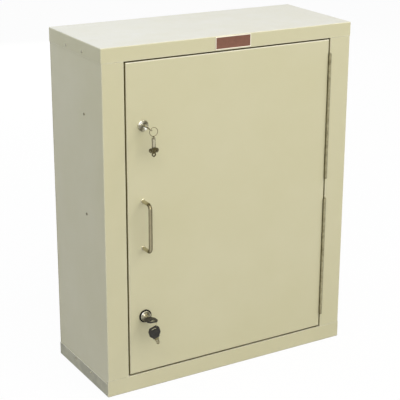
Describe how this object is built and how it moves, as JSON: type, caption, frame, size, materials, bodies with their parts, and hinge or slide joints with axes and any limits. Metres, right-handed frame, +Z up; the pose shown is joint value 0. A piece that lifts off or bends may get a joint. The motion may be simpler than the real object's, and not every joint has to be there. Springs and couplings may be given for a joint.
{
  "type": "lockable medicine cabinet",
  "caption": "Wall-hung steel medicine cabinet: inset hinged door with a D-shaped pull, cam locks with keys in them, and adjustable shelves inside.",
  "frame": {"origin": "centre of the base's underside, midway between the sides and between front and back", "axes": "+Z up, -Y out through the door, +Y into the wall, +X towards the hinge side"},
  "size_m": [0.6128, 0.2948, 0.762],
  "materials": {
    "cream_enamel": "baked cream enamel, semi-gloss",
    "zinc_plate": "zinc plated",
    "hinge_steel": "plain steel, satin",
    "pull_bronze": "satin, warm grey plated",
    "lock_nickel": "nickel plated",
    "key_nickel": "nickel plated, worn",
    "black_plastic": "black, smooth",
    "bumper_rubber": "matte",
    "plate_brown": "reddish brown with a bare raised rim"
  },
  "bodies": {
    "cabinet": {"left_side_panel": "cream_enamel", "right_side_panel": "cream_enamel", "back_panel": "cream_enamel", "top_cap": "cream_enamel", "base_pan": "cream_enamel", "cap_rivets": "cream_enamel", "base_rivets": "cream_enamel", "standard_rivets": "cream_enamel", "nameplate": "plate_brown", "door_bumpers": "bumper_rubber", "front_left_standard": "zinc_plate", "rear_left_standard": "zinc_plate", "front_right_standard": "zinc_plate", "rear_right_standard": "zinc_plate", "shelf_clips": "zinc_plate", "lower_shelf": "cream_enamel", "middle_shelf": "cream_enamel", "upper_shelf": "cream_enamel", "lower_hinge_frame_leaf": "hinge_steel", "upper_hinge_frame_leaf": "hinge_steel", "lower_hinge_pin": "hinge_steel", "upper_hinge_pin": "hinge_steel"},
    "door": {"lower_hinge_door_leaf": "hinge_steel", "upper_hinge_door_leaf": "hinge_steel", "door_pan": "cream_enamel", "door_stiffeners": "zinc_plate", "door_pull": "pull_bronze", "pull_screws": "zinc_plate", "upper_lock_barrel": "lock_nickel", "upper_lock_nut": "zinc_plate", "lower_lock_bezel": "black_plastic", "lower_lock_barrel": "lock_nickel", "lower_lock_nut": "zinc_plate"},
    "upper_lock_core": {"upper_lock_plug": "lock_nickel", "upper_lock_cam": "zinc_plate", "upper_cam_screw": "zinc_plate", "upper_key": "key_nickel"},
    "upper_key_loop": {"upper_key_loop": "key_nickel", "upper_spare_key": "key_nickel"},
    "lower_lock_core": {"lower_lock_plug": "lock_nickel", "lower_lock_cam": "zinc_plate", "lower_cam_screw": "zinc_plate", "lower_key_blade": "key_nickel", "lower_key_head": "black_plastic"},
    "lower_key_ring": {"lower_key_ring": "key_nickel"},
    "lower_spare_key": {"lower_spare_blade": "key_nickel", "lower_spare_head": "black_plastic"}
  },
  "joints": [
    {"name": "door_hinge", "type": "hinge", "parent": "cabinet", "child": "door", "pos_m": [0.249, -0.1272, 0.38425], "axis": [0, 0, 1], "range_deg": [0, 180]},
    {"name": "upper_lock_turn", "type": "hinge", "parent": "door", "child": "upper_lock_core", "pos_m": [-0.2136, -0.124, 0.5944], "axis": [0, -1, 0], "range_deg": [0, 90]},
    {"name": "lower_lock_turn", "type": "hinge", "parent": "door", "child": "lower_lock_core", "pos_m": [-0.2136, -0.124, 0.172], "axis": [0, -1, 0], "range_deg": [0, 90]},
    {"name": "upper_loop_swing", "type": "hinge", "parent": "upper_lock_core", "child": "upper_key_loop", "pos_m": [-0.2136, -0.1548, 0.5944], "axis": [0.6428, 0, 0.766], "range_deg": [-60, 35]},
    {"name": "lower_ring_swing", "type": "hinge", "parent": "lower_lock_core", "child": "lower_key_ring", "pos_m": [-0.21061, -0.1611, 0.17179], "axis": [0.9976, 0, -0.0698], "range_deg": [-50, 3]},
    {"name": "lower_spare_swing", "type": "hinge", "parent": "lower_key_ring", "child": "lower_spare_key", "pos_m": [-0.21061, -0.1611, 0.15699], "axis": [0, 1, 0], "range_deg": [-30, 30]}
  ]
}
